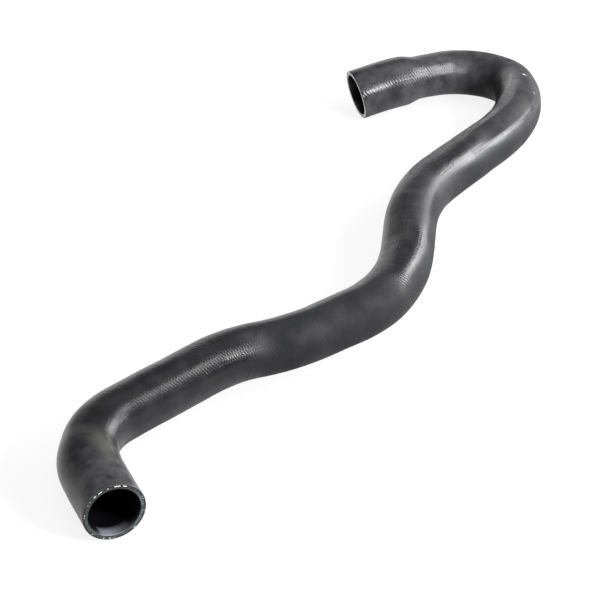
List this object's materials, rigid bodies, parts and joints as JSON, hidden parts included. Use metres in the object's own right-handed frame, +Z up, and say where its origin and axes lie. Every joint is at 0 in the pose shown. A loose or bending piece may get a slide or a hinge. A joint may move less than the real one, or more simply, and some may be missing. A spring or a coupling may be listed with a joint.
{
  "type": "charge air hose",
  "caption": "Formed rubber charge air hose that runs through a sharp elbow, a long S bend and a tight hook, with a wider cuff at each end.",
  "frame": {"origin": "on the floor that the hose lies on, under the middle of its box", "axes": "+Z up as the hose lies at rest; the near cuff's mouth points along -Y and the far cuff's mouth along -X, a little downwards"},
  "size_m": [0.7974, 0.7696, 0.0742],
  "materials": {
    "wrapped_rubber": "satin"
  },
  "bodies": {
    "root": {"hose": "wrapped_rubber"}
  },
  "joints": []
}
